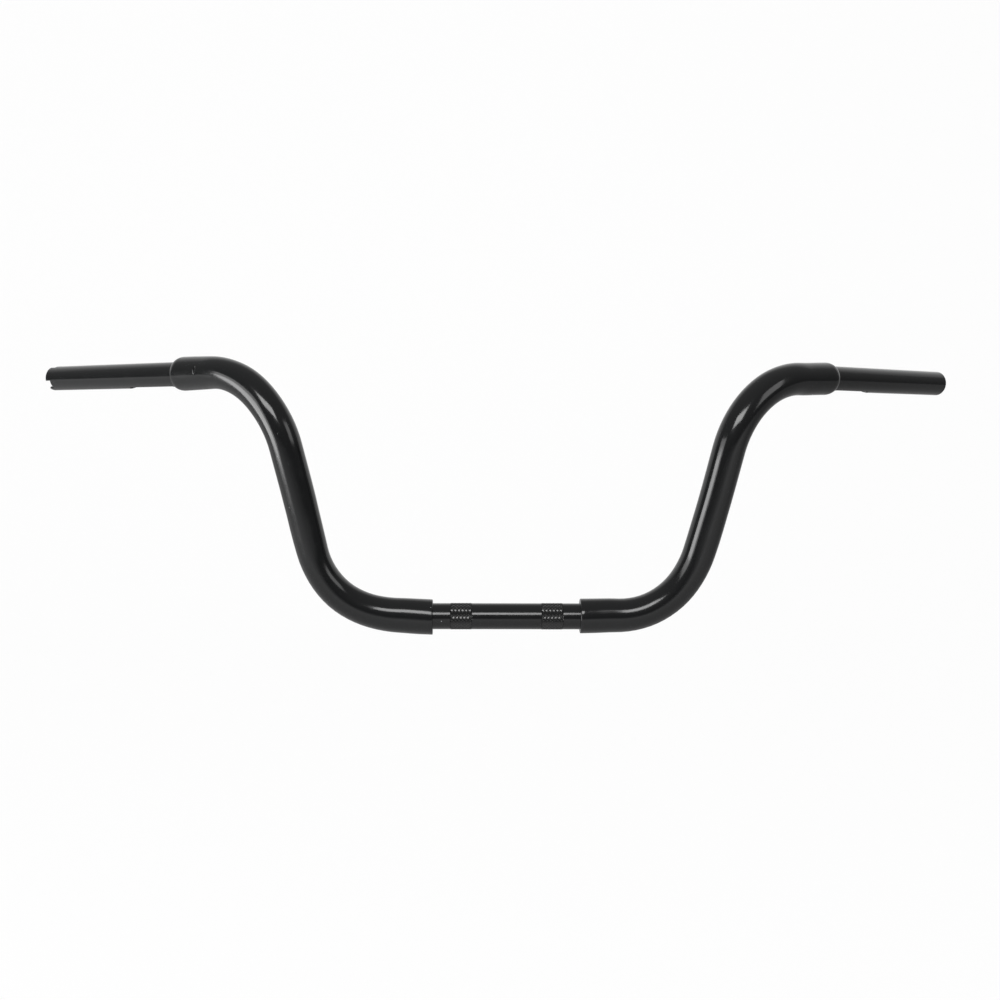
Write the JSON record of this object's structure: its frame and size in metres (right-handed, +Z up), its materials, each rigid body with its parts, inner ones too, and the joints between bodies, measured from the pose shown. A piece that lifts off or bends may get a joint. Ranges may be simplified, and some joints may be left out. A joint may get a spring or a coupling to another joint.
{
  "type": "ape hanger handlebar",
  "caption": "Tall black motorcycle handlebar: thin clamp tube, two fat twice-bent riser tubes and two thin grip tubes, one notched for an electronic throttle.",
  "frame": {"origin": "middle of the clamp tube, on its axis", "axes": "+X to the rider's left along the clamp tube, +Y back to the rider, +Z up along the risers"},
  "size_m": [0.9658, 0.2219, 0.264],
  "materials": {
    "black_paint": "gloss black over steel"
  },
  "bodies": {
    "root": {"clamp_tube": "black_paint", "throttle_side_riser": "black_paint", "clutch_side_riser": "black_paint", "throttle_grip_tube": "black_paint", "clutch_grip_tube": "black_paint"}
  },
  "joints": []
}
